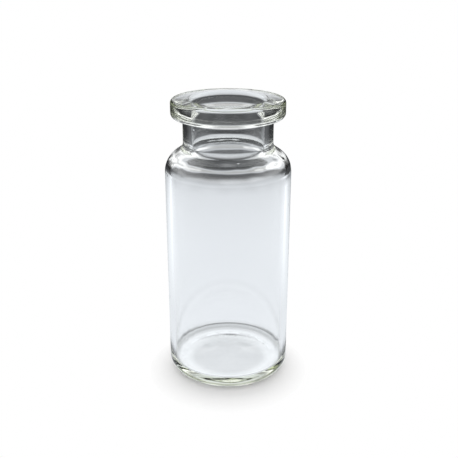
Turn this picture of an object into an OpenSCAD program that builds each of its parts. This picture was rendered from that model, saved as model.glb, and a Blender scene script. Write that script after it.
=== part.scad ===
// Small sample vial with a crimp neck, formed in one piece from clear glass tube.
// The origin is the middle of the ring that it stands on, with +Z up the axis.

/* [Body] */
// Height from the standing ring to the top of the lip
total_h = 51; // [40:1:90]
// Outer diameter of the body
body_d = 22.2; // [20:0.1:40]
// Thickness of the body wall
wall = 1; // [0.8:0.1:1.6]

/* [Foot] */
// Outer radius of the heel, where the wall turns into the foot
heel_r = 2.5; // [1:0.1:3.5]
// Inner radius of the corner between the wall and the floor
corner_r = 0.6; // [0.3:0.1:2.5]
// Thickness of the floor
floor_t = 1.9; // [0.8:0.1:2.6]
// Rise of the hollow under the floor
push_up = 0.3; // [0.1:0.1:1.4]
// Dip of the middle of the inner floor below its rim
floor_dip = 0.5; // [0.1:0.1:1.4]
// Width of the flat ring that the vial stands on
ring_w = 0.4; // [0.3:0.1:1.5]

/* [Shoulder] */
// Slope of the shoulder, in degrees
slope = 35; // [20:1:45]
// Outer radius of the round at the top of the body
round_r = 4; // [2:0.1:4.5]
// Outer radius of the sweep up into the neck
sweep_r = 1.4; // [1:0.1:4]
// Thickness of the glass where the shoulder meets the neck
shoulder_t = 1.3; // [0.9:0.1:1.8]
// Slope of the inside of the shoulder, in degrees
inner_slope = 26.5; // [15:0.5:40]
// Radius of the round at the top of the body, inside
inner_round_r = 2.5; // [1:0.1:4]
// Radius of the turn from the bore into the shoulder
inner_sweep_r = 1.4; // [0.5:0.1:3]

/* [Neck] */
// Outer diameter of the neck
neck_d = 15.7; // [14.8:0.1:16.6]
// Height from the top of the sweep to the rim of the flange
neck_h = 4.5; // [2:0.1:12]
// Diameter of the bore that takes the stopper
bore_d = 12.6; // [12:0.1:13.4]

/* [Flange] */
// Outer diameter of the flange that takes the crimp cap
flange_d = 19.8; // [19:0.1:20.5]
// Height of the flange at its rim
flange_h = 3.1; // [2:0.1:4]
// Slope of the flange's underside, in degrees
under_slope = 9; // [0:1:20]
// Radius of the rim's upper edge
rim_top_r = 0.6; // [0.2:0.05:0.8]
// Radius of the rim's lower edge
rim_low_r = 0.6; // [0.2:0.05:0.8]
// Radius of the corner between the underside and the neck
under_r = 0.3; // [0.2:0.05:0.8]
// Radius of the fire-polished lip round the mouth
lip_r = 0.7; // [0.2:0.05:0.9]

/* [Hidden] */
$fn = 96;
glass = [0.80, 0.86, 0.85, 0.5];
// Degrees between the points of a small arc, and of the shallow dome and bowl in the foot
turn = 9;
dome_turn = 1;

body_r = body_d / 2;
inside_r = body_r - wall;
neck_r = neck_d / 2;
bore_r = bore_d / 2;
flange_r = flange_d / 2;
flange_z = total_h - flange_h;

// The points of an arc round c, with its ends at the angles a and b
function arc(c, r, a, b, step = turn) =
    let (count = max(2, ceil(abs(b - a) / step)))
    [for (i = [0 : count]) c + r * [cos(a + (b - a) * i / count), sin(a + (b - a) * i / count)]];
// The height at x of a point that lies off away from the line through p with normal n
function beside(p, n, x, off) = p.y + (off - (x - p.x) * n.x) / n.y;
// The share of two radii, either side of a slope, that fits in the step between their tubes
function share(step, radii, lean) = min(1, step / (radii * (1 - cos(lean))));

// Foot: the hollow underneath is a shallow dome, and the floor is a shallow bowl.
heel_c = [body_r - heel_r, heel_r];
hollow_r = heel_c.x - ring_w;
dome_r = (hollow_r * hollow_r + push_up * push_up) / (2 * push_up);
dome_c = [0, push_up - dome_r];
dome_end = acos(hollow_r / dome_r);
bowl_r = (inside_r * inside_r + floor_dip * floor_dip) / (2 * floor_dip);
bowl_c = [0, push_up + floor_t + bowl_r];
corner_x = inside_r - corner_r;
corner_drop = sqrt(pow(bowl_r - corner_r, 2) - corner_x * corner_x);
corner_c = [corner_x, bowl_c.y - corner_drop];
bowl_end = -atan2(corner_drop, corner_x);

// Shoulder: a round, a straight slope and a sweep, each tangent to the next, outside and inside.
lean = 90 - slope;
slope_n = [sin(slope), cos(slope)];
out_share = share(body_r - neck_r, round_r + sweep_r, lean);
out_round_r = round_r * out_share;
out_sweep_r = sweep_r * out_share;
out_sweep_c = [neck_r + out_sweep_r, flange_z - neck_h];
slope_p = out_sweep_c - out_sweep_r * slope_n;
out_round_x = body_r - out_round_r;
out_round_c = [out_round_x, beside(slope_p, slope_n, out_round_x, -out_round_r)];
in_lean = 90 - inner_slope;
in_n = [sin(inner_slope), cos(inner_slope)];
in_p = slope_p - shoulder_t * slope_n;
in_share = share(inside_r - bore_r, inner_round_r + inner_sweep_r, in_lean);
in_round_r = inner_round_r * in_share;
in_sweep_r = inner_sweep_r * in_share;
in_round_x = inside_r - in_round_r;
in_round_c = [in_round_x, beside(in_p, in_n, in_round_x, -in_round_r)];
in_sweep_x = bore_r + in_sweep_r;
in_sweep_c = [in_sweep_x, beside(in_p, in_n, in_sweep_x, in_sweep_r)];

// Flange: a rim with rounded edges over a sloping underside
under_n = [-sin(under_slope), cos(under_slope)];
under_p = [flange_r, flange_z];
under_x = neck_r + under_r;
under_c = [under_x, beside(under_p, under_n, under_x, -under_r)];
rim_low_x = flange_r - rim_low_r;
rim_low_c = [rim_low_x, beside(under_p, under_n, rim_low_x, rim_low_r)];
rim_top_c = [flange_r - rim_top_r, total_h - rim_top_r];
lip_c = [bore_r + lip_r, total_h - lip_r];

// Each run of points goes on where the last one stopped: up the outside, then down the inside.
foot_line = concat(
    arc(dome_c, dome_r, 90, dome_end, dome_turn),
    arc(heel_c, heel_r, -90, 0)
);
shoulder_line = concat(
    arc(out_round_c, out_round_r, 0, lean),
    arc(out_sweep_c, out_sweep_r, 180 + lean, 180)
);
flange_line = concat(
    arc(under_c, under_r, 180, 90 + under_slope),
    arc(rim_low_c, rim_low_r, under_slope - 90, 0),
    arc(rim_top_c, rim_top_r, 0, 90),
    arc(lip_c, lip_r, 90, 180)
);
inside_line = concat(
    arc(in_sweep_c, in_sweep_r, 180, 180 + in_lean),
    arc(in_round_c, in_round_r, in_lean, 0),
    arc(corner_c, corner_r, 0, bowl_end),
    arc(bowl_c, bowl_r, bowl_end, -90, dome_turn)
);

module vial() {
    color(glass) rotate_extrude()
        polygon(concat(foot_line, shoulder_line, flange_line, inside_line));
}

vial();
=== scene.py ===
import math

import bpy
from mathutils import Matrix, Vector, noise


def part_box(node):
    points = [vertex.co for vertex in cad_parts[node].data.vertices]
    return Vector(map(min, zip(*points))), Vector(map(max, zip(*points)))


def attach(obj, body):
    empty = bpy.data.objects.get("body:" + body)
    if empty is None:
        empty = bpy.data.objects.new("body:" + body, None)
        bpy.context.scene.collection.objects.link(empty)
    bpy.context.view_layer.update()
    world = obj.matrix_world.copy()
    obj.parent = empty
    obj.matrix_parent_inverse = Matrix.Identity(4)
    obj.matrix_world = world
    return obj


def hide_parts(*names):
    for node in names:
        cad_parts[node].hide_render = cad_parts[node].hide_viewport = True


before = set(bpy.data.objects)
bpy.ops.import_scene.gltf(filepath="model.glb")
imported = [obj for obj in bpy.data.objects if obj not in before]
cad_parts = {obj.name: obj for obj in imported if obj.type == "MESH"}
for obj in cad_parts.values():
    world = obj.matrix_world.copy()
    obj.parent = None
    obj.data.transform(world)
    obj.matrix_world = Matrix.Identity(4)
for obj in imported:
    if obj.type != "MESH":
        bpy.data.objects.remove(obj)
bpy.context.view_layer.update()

MM = 0.001

# ---------------------------------------------------------------- sizes, in millimetres and degrees
low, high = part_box("vial")
TOTAL_H = (high[2] - low[2]) / MM
BODY_R = (high[0] - low[0]) / 2 / MM
WALL = 1.02
# the foot: outer heel, inner corner, glass in the middle, hollow below, standing ring, dip of the floor
HEEL_R = 2.1
CORNER_R = 0.56
FLOOR_T = 1.6
PUSH_UP = 0.35
RING_W = 0.6
FLOOR_DIP = 0.35
# the shoulder, outside and inside
SLOPE = 35
ROUND_R = 4.0
SWEEP_R = 1.4
SHOULDER_T = 1.35
IN_SLOPE = 32.5
IN_ROUND_R = 2.25
IN_SWEEP_R = 1.4
# neck and flange
NECK_R = 7.85
NECK_H = 4.5
BORE_R = 6.3
FLANGE_R = 9.9
FLANGE_H = 3.1
UNDER_SLOPE = 9
RIM_TOP_R = 0.7
RIM_LOW_R = 0.95
UNDER_R = 0.3
LIP_R = 0.85

# ---------------------------------------------------------------- spacing of the mesh, in millimetres
ARC_STEP = 0.13
FLAT_ARC_STEP = 0.4
FLAT_ARC_R = 20
FEWEST_ARC_STEPS = 6
STRAIGHT_STEP = 0.8
SAME_SPOT = 1e-6
AROUND = 320

# ---------------------------------------------------------------- heights of the waves, in millimetres
FLOOR_WAVE = 0.012
HEEL_WAVE = 0.006
SHOULDER_WAVE = 0.035
NECK_WAVE = 0.01
FLANGE_WAVE = 0.015
BORE_WAVE = 0.008
WAVE_GRAIN = 2.2
# the body's long straight stays as it was drawn, true but for fine cords that run its full length
LONG_STRAIGHT = 10
CORD_WAVE = 0.005
CORD_GRAIN = 1.1
CORD_TWIST = 0.03
# the inside has waves and cords of its own
INSIDE_WAVE_SHIFT = 31
INSIDE_CORD_SHIFT = 7

# ---------------------------------------------------------------- the glass itself, in metres
REFRACTION = 1.5
GLASS_TINT = "c8dd00"
TINT_PER_METRE = 8.0
RELIEF_STRENGTH = 0.6
RIPPLE_SIZE = 0.0014
RIPPLE_SHARE = 0.03
BUBBLE_SPACING = 0.0038
BUBBLE_R = 0.00027
BUBBLE_DEPTH = 0.00004

# ---------------------------------------------------------------- the sheet, as (metres from the axis, tone)
# Only light that glass has bent meets these tones and those of the room below. The sheet glows
# with them as painted light: the lit paper's level, brighter beside the vial than behind it. Their
# levels were solved for the view from the front, then rounded and adjusted, so they are no design
# of their own. The rings are painted light and shade: the shade under the foot, and the bright and
# dark rings that the foot throws on the paper round it. The sheet ends on a dark bench that is
# lighter again far behind.
FOOT_PAINTED_LIGHT_AND_SHADE = [
    (0.0, .75), (0.0065, .75), (0.0077, .95), (0.0084, 1.15), (0.0091, .95), (0.01, 1.1), (0.0104, .5),
    (0.0107, .8), (0.011, .4), (0.0119, .4), (0.0127, .75), (0.0134, .1), (0.0149, .1), (0.0157, .84),
]
SHEET_BEHIND = [
    (0.03, .83), (0.06, .79), (0.1, .70), (0.13, .46), (0.16, .09), (0.2, .06), (0.27, .12), (0.35, .3),
    (0.4, .55),
]
SHEET_ASLANT = [
    (0.03, .83), (0.06, .80), (0.1, .70), (0.13, .55), (0.16, .22), (0.2, .12), (0.27, .07), (0.35, .3),
    (0.4, .5),
]
SHEET_BESIDE = [(0.03, .83), (0.06, 1.02), (0.1, 1.15), (0.14, 1.0), (0.2, .85), (0.4, .8)]
BENCH_SHADE = [(0.0, 1.0), (0.12, 1.0), (0.155, .25), (0.2, .15), (0.4, .1)]
# each with the degrees from straight behind over which it takes over from the one before
SHEET_ROUND = ((SHEET_BEHIND, 0, 0), (SHEET_ASLANT, 4, 12), (SHEET_BESIDE, 25, 50))
SHEET_REACH = 0.4
FLOOR_HALF = 3.0
# the white paper as it is seen directly: matt near the foot, where it is shaded, then plain white
PAPER_TONE = 0.97
SHADE_FROM = 0.0095
SHADE_TO = 0.0150
SHADE_FORWARD = 0.0028

# ---------------------------------------------------------------- the room, as (sine of the height, tone)
WALL_BEHIND = [
    (0.0, .45), (0.1, .42), (0.21, .8), (0.34, .5), (0.53, .8), (0.74, 1.5), (0.95, .1), (1.0, .1),
]
WHITE_CARD = [
    (0.0, .85), (0.1, 1.2), (0.21, 1.5), (0.34, 1.4), (0.53, .35), (0.74, 1.5), (0.95, .1), (1.0, .1),
]
DARK_GAP = [(0.0, .1), (0.2, .05), (0.34, .7), (0.53, .25), (0.74, 1.8), (0.95, .1), (1.0, .1)]
SOFT_BOX = [
    (0.0, .2), (0.1, .2), (0.2, .1), (0.34, 1.8), (0.53, 1.6), (0.74, 1.4), (0.95, .1), (1.0, .1),
]
ROOM_BESIDE = [
    (0.0, .9), (0.1, .7), (0.2, 1.9), (0.34, 2.0), (0.53, 1.9), (0.74, .8), (0.95, .1), (1.0, .1),
]
LOW_SHADE = [(0.0, .1), (0.1, .15), (0.2, .8), (0.3, 1.0)]
ROOM_ROUND = (
    (WALL_BEHIND, 0, 0), (WHITE_CARD, 4, 8), (DARK_GAP, 15, 20), (SOFT_BOX, 25, 40), (ROOM_BESIDE, 60, 90),
)
ROOM_COOLNESS = 0.3
LESS_RED = 0.04
MORE_BLUE = 0.06

# ---------------------------------------------------------------- the camera, in metres, millimetres, degrees
CAMERA_PLACE = (0.00015, -0.1238, 0.07486)
CAMERA_TILT = 21.08
CAMERA_LENS = 57.38
CAMERA_SENSOR = 36
CAMERA_CLIP = 0.005


def srgb(code):
    """Linear RGBA of an sRGB hex colour."""
    parts = [int(code[i:i + 2], 16) / 255 for i in (0, 2, 4)]
    return [c / 12.92 if c <= 0.04045 else ((c + 0.055) / 1.055) ** 2.4 for c in parts] + [1.0]


def arc(centre, radius, start, end, wave):
    """Points of an arc in the section, between two angles in degrees, each with its waviness."""
    length = radius * math.radians(abs(end - start))
    step = ARC_STEP if radius < FLAT_ARC_R else FLAT_ARC_STEP
    count = max(FEWEST_ARC_STEPS, round(length / step))
    out = []
    for i in range(count + 1):
        a = math.radians(start + (end - start) * i / count)
        out.append((centre[0] + radius * math.cos(a), centre[1] + radius * math.sin(a), wave))
    return out


def beside(point, normal, x, off):
    """Height at x of a point that lies off away from the line through point."""
    return point[1] + (off - (x - point[0]) * normal[0]) / normal[1]


def fill_in(corners, inside_from):
    """Points in (radius, height, waviness, side), with more along the straights; side is 1 inside."""
    out = [(*corners[0], 0)]
    for n, (r, z, wave) in enumerate(corners[1:], start=1):
        last_r, last_z, last_wave, _ = out[-1]
        gap = math.hypot(r - last_r, z - last_z)
        if gap < SAME_SPOT:
            continue
        side = 1 if n >= inside_from else 0
        count = max(1, math.ceil(gap / STRAIGHT_STEP))
        for i in range(1, count):
            t = i / count
            between = 0.0 if gap > LONG_STRAIGHT else last_wave + (wave - last_wave) * t
            out.append((last_r + (r - last_r) * t, last_z + (z - last_z) * t, between, side))
        out.append((r, z, wave, side))
    return out


def section():
    """The outline of the glass, from the middle of the foot up the outside and down the inside."""
    heel_c = (BODY_R - HEEL_R, HEEL_R)
    hollow_r = heel_c[0] - RING_W
    dome_r = (hollow_r ** 2 + PUSH_UP ** 2) / (2 * PUSH_UP)
    dome_c = (0, PUSH_UP - dome_r)
    dome_end = math.degrees(math.acos(hollow_r / dome_r))
    inside_r = BODY_R - WALL
    corner_x = inside_r - CORNER_R
    bowl_r = (inside_r ** 2 + FLOOR_DIP ** 2) / (2 * FLOOR_DIP)
    bowl_c = (0, PUSH_UP + FLOOR_T + bowl_r)
    corner_drop = math.sqrt((bowl_r - CORNER_R) ** 2 - corner_x ** 2)
    corner_c = (corner_x, bowl_c[1] - corner_drop)
    bowl_end = -math.degrees(math.atan2(corner_drop, corner_x))
    slope_n = (math.sin(math.radians(SLOPE)), math.cos(math.radians(SLOPE)))
    lean = 90 - SLOPE
    flange_z = TOTAL_H - FLANGE_H
    out_sweep_c = (NECK_R + SWEEP_R, flange_z - NECK_H)
    slope_p = (out_sweep_c[0] - SWEEP_R * slope_n[0], out_sweep_c[1] - SWEEP_R * slope_n[1])
    out_round_x = BODY_R - ROUND_R
    out_round_c = (out_round_x, beside(slope_p, slope_n, out_round_x, -ROUND_R))
    in_n = (math.sin(math.radians(IN_SLOPE)), math.cos(math.radians(IN_SLOPE)))
    in_lean = 90 - IN_SLOPE
    in_p = (slope_p[0] - SHOULDER_T * slope_n[0], slope_p[1] - SHOULDER_T * slope_n[1])
    in_round_x = inside_r - IN_ROUND_R
    in_round_c = (in_round_x, beside(in_p, in_n, in_round_x, -IN_ROUND_R))
    in_sweep_x = BORE_R + IN_SWEEP_R
    in_sweep_c = (in_sweep_x, beside(in_p, in_n, in_sweep_x, IN_SWEEP_R))
    under_n = (-math.sin(math.radians(UNDER_SLOPE)), math.cos(math.radians(UNDER_SLOPE)))
    under_p = (FLANGE_R, flange_z)
    under_x = NECK_R + UNDER_R
    under_c = (under_x, beside(under_p, under_n, under_x, -UNDER_R))
    rim_low_x = FLANGE_R - RIM_LOW_R
    rim_low_c = (rim_low_x, beside(under_p, under_n, rim_low_x, RIM_LOW_R))
    rim_top_c = (FLANGE_R - RIM_TOP_R, TOTAL_H - RIM_TOP_R)
    lip_c = (BORE_R + LIP_R, TOTAL_H - LIP_R)
    corners = []
    corners += arc(dome_c, dome_r, 90, dome_end, FLOOR_WAVE)
    corners += arc(heel_c, HEEL_R, -90, 0, HEEL_WAVE)
    corners += arc(out_round_c, ROUND_R, 0, lean, SHOULDER_WAVE)
    corners += arc(out_sweep_c, SWEEP_R, 180 + lean, 180, NECK_WAVE)
    corners += arc(under_c, UNDER_R, 180, 90 + UNDER_SLOPE, FLANGE_WAVE)
    corners += arc(rim_low_c, RIM_LOW_R, UNDER_SLOPE - 90, 0, FLANGE_WAVE)
    corners += arc(rim_top_c, RIM_TOP_R, 0, 90, FLANGE_WAVE)
    corners += arc(lip_c, LIP_R, 90, 180, FLANGE_WAVE)
    inside_from = len(corners)
    corners += arc(in_sweep_c, IN_SWEEP_R, 180, 180 + in_lean, BORE_WAVE)
    corners += arc(in_round_c, IN_ROUND_R, in_lean, 0, SHOULDER_WAVE)
    corners += arc(corner_c, CORNER_R, 0, bowl_end, HEEL_WAVE)
    corners += arc(bowl_c, bowl_r, bowl_end, -90, FLOOR_WAVE)
    return fill_in(corners, inside_from)


def wavy(outline, i, angle):
    """Point i of the outline turned by an angle, moved along the surface's normal by the waves."""
    r, z, wave, side = outline[i]
    before = outline[max(i - 1, 0)]
    after = outline[min(i + 1, len(outline) - 1)]
    along = (after[0] - before[0], after[1] - before[1])
    length = math.hypot(*along)
    out_r, out_z = along[1] / length, -along[0] / length
    x, y = r * math.cos(angle), r * math.sin(angle)
    spot = Vector((x, y, z + side * INSIDE_WAVE_SHIFT)) / WAVE_GRAIN
    cord = Vector((x / CORD_GRAIN, y / CORD_GRAIN, z * CORD_TWIST + side * INSIDE_CORD_SHIFT))
    off = wave * noise.noise(spot) + CORD_WAVE * noise.noise(cord)
    r, z = r + off * out_r, z + off * out_z
    return (r * math.cos(angle) * MM, r * math.sin(angle) * MM, z * MM)


def spin(name, outline):
    """A closed smooth mesh turned from an outline whose ends lie on the axis."""
    verts = [(0, 0, outline[0][1] * MM)]
    for i in range(1, len(outline) - 1):
        for j in range(AROUND):
            verts.append(wavy(outline, i, 2 * math.pi * j / AROUND))
    verts.append((0, 0, outline[-1][1] * MM))
    rings = len(outline) - 2
    faces = []
    for j in range(AROUND):
        k = (j + 1) % AROUND
        faces.append((0, 1 + k, 1 + j))
        for i in range(rings - 1):
            a = 1 + i * AROUND
            b = a + AROUND
            faces.append((a + j, a + k, b + k, b + j))
        a = 1 + (rings - 1) * AROUND
        faces.append((a + j, a + k, len(verts) - 1))
    mesh = bpy.data.meshes.new(name)
    mesh.from_pydata(verts, [], faces)
    mesh.validate()
    mesh.polygons.foreach_set("use_smooth", [True] * len(mesh.polygons))
    piece = bpy.data.objects.new(name, mesh)
    bpy.context.collection.objects.link(piece)
    return piece


def add(tree, kind, values=None, links=None, **settings):
    """Add a node with its settings, its socket values and its links."""
    node = tree.nodes.new(kind)
    for key, value in settings.items():
        setattr(node, key, value)
    for key, value in (values or {}).items():
        node.inputs[key].default_value = value
    for key, source in (links or {}).items():
        tree.links.new(source, node.inputs[key])
    return node


def empty_tree(owner):
    """The node tree of a new material or world, with nothing in it."""
    owner.use_nodes = True
    owner.node_tree.nodes.clear()
    return owner.node_tree


def clear_glass():
    """Clear borosilicate tube glass, colourless to the eye but yellow-green through its thick edges.

    It was drawn as tube, cut, then softened in a flame and rolled to shape at neck and foot. The
    flame leaves a hard, smooth skin that mirrors cleanly, with shallow ripples about a millimetre and
    a half across and a few small open bubbles, which show as specks.
    """
    mat = bpy.data.materials.new("clear_tube_glass")
    tree = empty_tree(mat)
    place = add(tree, "ShaderNodeTexCoord").outputs["Object"]
    ripple = add(tree, "ShaderNodeTexNoise", {"Scale": 1 / RIPPLE_SIZE, "Detail": 1.0}, {"Vector": place})
    bubbles = add(tree, "ShaderNodeTexVoronoi", {"Scale": 1 / BUBBLE_SPACING}, {"Vector": place})
    pit = add(tree, "ShaderNodeMapRange", {1: 0.0, 2: BUBBLE_R / BUBBLE_SPACING, 3: -1.0, 4: 0.0},
              {0: bubbles.outputs["Distance"]}, clamp=True)
    relief = add(tree, "ShaderNodeMath", {1: RIPPLE_SHARE}, {0: ripple.outputs[0], 2: pit.outputs[0]},
                 operation="MULTIPLY_ADD")
    bump = add(tree, "ShaderNodeBump", {"Strength": RELIEF_STRENGTH, "Distance": BUBBLE_DEPTH},
               {"Height": relief.outputs[0]})
    surface = add(tree, "ShaderNodeBsdfPrincipled", {
        "Base Color": srgb("ffffff"),
        "Roughness": 0.0,
        "IOR": REFRACTION,
        "Transmission Weight": 1.0,
    }, {"Normal": bump.outputs["Normal"]})
    body = add(tree, "ShaderNodeVolumeAbsorption", {"Color": srgb(GLASS_TINT), "Density": TINT_PER_METRE})
    add(tree, "ShaderNodeOutputMaterial", links={
        "Surface": surface.outputs["BSDF"],
        "Volume": body.outputs["Volume"],
    })
    return mat


def ramp(tree, source, stops):
    """A colour ramp driven by source, from (position, colour) stops."""
    node = add(tree, "ShaderNodeValToRGB", links={"Fac": source})
    bar = node.color_ramp.elements
    bar[0].position = stops[0][0]
    bar[1].position = stops[-1][0]
    for place, _ in stops[1:-1]:
        bar.new(place)
    for element, (_, colour) in zip(bar, stops):
        element.color = (*colour, 1)
    return node.outputs["Color"]


def grey(level):
    """A neutral tone."""
    return (level, level, level)


def cool(level, coolness=1.0):
    """A tone a little short of red and rich in blue, as daylight on white paper is."""
    return (level * (1 - LESS_RED * coolness), level, level * (1 + MORE_BLUE * coolness))


def placed(tree, place):
    """The angle of a direction or a spot from the back, how far off it is, and its height."""
    flat = add(tree, "ShaderNodeVectorMath", {1: (1, 1, 0)}, {0: place}, operation="MULTIPLY")
    length = add(tree, "ShaderNodeVectorMath", links={0: flat.outputs[0]}, operation="LENGTH")
    split = add(tree, "ShaderNodeSeparateXYZ", links={"Vector": place})
    across = add(tree, "ShaderNodeMath", links={0: split.outputs["X"]}, operation="ABSOLUTE")
    angle = add(tree, "ShaderNodeMath", links={0: across.outputs[0], 1: split.outputs["Y"]},
                operation="ARCTAN2")
    return angle.outputs[0], length.outputs["Value"], split.outputs["Z"]


def bent_by_glass(tree, path):
    """1 for light that glass has bent or mirrored and that no matt surface has scattered."""
    bent = add(tree, "ShaderNodeMath",
               links={0: path.outputs["Is Glossy Ray"], 1: path.outputs["Is Transmission Ray"]},
               operation="MAXIMUM")
    return add(tree, "ShaderNodeMath", links={0: bent.outputs[0], 1: path.outputs["Diffuse Depth"]},
               operation="SUBTRACT", use_clamp=True).outputs[0]


def rise(tree, source, start, end):
    """0 where source is under start, 1 where it is over end, even between them."""
    return add(tree, "ShaderNodeMapRange", {1: start, 2: end, 3: 0.0, 4: 1.0}, {0: source},
               clamp=True).outputs[0]


def blend(tree, factor, first, second):
    """One colour where factor is 0, the other where it is 1."""
    return add(tree, "ShaderNodeMix", links={"Factor": factor, 6: first, 7: second},
               data_type="RGBA").outputs[2]


def round_from_behind(tree, angle, source, parts):
    """Ramps over source that take over from each other from straight behind round to the side."""
    tone = None
    for stops, start, end in parts:
        part = ramp(tree, source, stops)
        if tone is None:
            tone = part
        else:
            tone = blend(tree, rise(tree, angle, math.radians(start), math.radians(end)), tone, part)
    return tone


def shaded(tree, tone, path, source, stops):
    """A tone as it is, but darker by a ramp for light that the glass has mirrored on its way."""
    shade = ramp(tree, source, [(p, grey(v)) for p, v in stops])
    darker = add(tree, "ShaderNodeMix", {"Factor": 1.0}, {6: tone, 7: shade}, data_type="RGBA",
                 blend_type="MULTIPLY")
    mirrored = add(tree, "ShaderNodeMath", {1: 0.5}, {0: path.outputs["Glossy Depth"]},
                   operation="GREATER_THAN")
    return blend(tree, mirrored.outputs[0], tone, darker.outputs[2])


def room():
    """White all round, with walls, cards and soft boxes for light that glass has bent."""
    world = bpy.data.worlds.new("studio")
    bpy.context.scene.world = world
    tree = empty_tree(world)
    path = add(tree, "ShaderNodeLightPath")
    coord = add(tree, "ShaderNodeTexCoord")
    angle, _, up = placed(tree, coord.outputs["Generated"])
    parts = [([(h, cool(v, ROOM_COOLNESS)) for h, v in tones], start, end)
             for tones, start, end in ROOM_ROUND]
    walls = shaded(tree, round_from_behind(tree, angle, up, parts), path, up, LOW_SHADE)
    white = add(tree, "ShaderNodeRGB")
    white.outputs[0].default_value = srgb("ffffff")
    tone = blend(tree, bent_by_glass(tree, path), white.outputs[0], walls)
    light = add(tree, "ShaderNodeBackground", {"Strength": 1.0}, {"Color": tone})
    add(tree, "ShaderNodeOutputWorld", links={"Surface": light.outputs[0]})


def white_sheet():
    """White paper, shaded only near the foot; bent light sees it glow with painted light, shade and bench
    tones.
    """
    mat = bpy.data.materials.new("sheet_painted_light_on_bench")
    tree = empty_tree(mat)
    path = add(tree, "ShaderNodeLightPath")
    coord = add(tree, "ShaderNodeTexCoord")
    angle, away, _ = placed(tree, coord.outputs["Object"])
    reach = add(tree, "ShaderNodeMath", {1: 1 / SHEET_REACH}, {0: away}, operation="MULTIPLY").outputs[0]
    # every sheet ramp starts with the foot's painted shade under it and painted bright and dark rings round
    # it
    parts = [([(r / SHEET_REACH, cool(v)) for r, v in FOOT_PAINTED_LIGHT_AND_SHADE + tones], start, end)
             for tones, start, end in SHEET_ROUND]
    sheet = round_from_behind(tree, angle, reach, parts)
    sheet = shaded(tree, sheet, path, reach, [(r / SHEET_REACH, v) for r, v in BENCH_SHADE])
    # painted light: for bent light the sheet glows with its tones instead of being lit
    sheet_painted_glow = add(tree, "ShaderNodeEmission", {"Strength": 1.0}, {"Color": sheet})
    paper = add(tree, "ShaderNodeBsdfDiffuse", {"Color": (*grey(PAPER_TONE), 1)})
    white = add(tree, "ShaderNodeEmission", {"Strength": 1.0})
    shifted = add(tree, "ShaderNodeVectorMath", {1: (0, SHADE_FORWARD, 0)}, {0: coord.outputs["Object"]},
                  operation="ADD")
    from_shade = add(tree, "ShaderNodeVectorMath", links={0: shifted.outputs[0]}, operation="LENGTH")
    far = rise(tree, from_shade.outputs["Value"], SHADE_FROM, SHADE_TO)
    fade = add(tree, "ShaderNodeMath", links={0: far, 1: path.outputs["Is Camera Ray"]},
               operation="MULTIPLY")
    seen = add(tree, "ShaderNodeMixShader",
               links={0: fade.outputs[0], 1: paper.outputs[0], 2: white.outputs[0]})
    mix = add(tree, "ShaderNodeMixShader",
              links={0: bent_by_glass(tree, path), 1: seen.outputs[0], 2: sheet_painted_glow.outputs[0]})
    add(tree, "ShaderNodeOutputMaterial", links={"Surface": mix.outputs[0]})
    mat.cycles.emission_sampling = "NONE"
    return mat


def floor():
    """A wide flat floor with the sheet on it."""
    mesh = bpy.data.meshes.new("floor")
    s = FLOOR_HALF
    mesh.from_pydata([(-s, -s, 0), (s, -s, 0), (s, s, 0), (-s, s, 0)], [], [(0, 1, 2, 3)])
    mesh.materials.append(white_sheet())
    plane = bpy.data.objects.new("floor", mesh)
    bpy.context.collection.objects.link(plane)


def camera():
    """The camera in front of the vial, a little above it and looking down."""
    cam = bpy.data.cameras.new("camera")
    cam.sensor_width = CAMERA_SENSOR
    cam.lens = CAMERA_LENS
    cam.clip_start = CAMERA_CLIP
    holder = bpy.data.objects.new("camera", cam)
    holder.location = CAMERA_PLACE
    holder.rotation_euler = (math.radians(90 - CAMERA_TILT), 0, 0)
    bpy.context.collection.objects.link(holder)
    bpy.context.scene.camera = holder


vial = spin("glass_vial", section())
vial.data.materials.append(clear_glass())
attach(vial, "root")
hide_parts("vial")
room()
floor()
camera()
scene = bpy.context.scene
scene.view_settings.view_transform = "Standard"
scene.cycles.max_bounces = 32
scene.cycles.transmission_bounces = 32
scene.cycles.glossy_bounces = 16
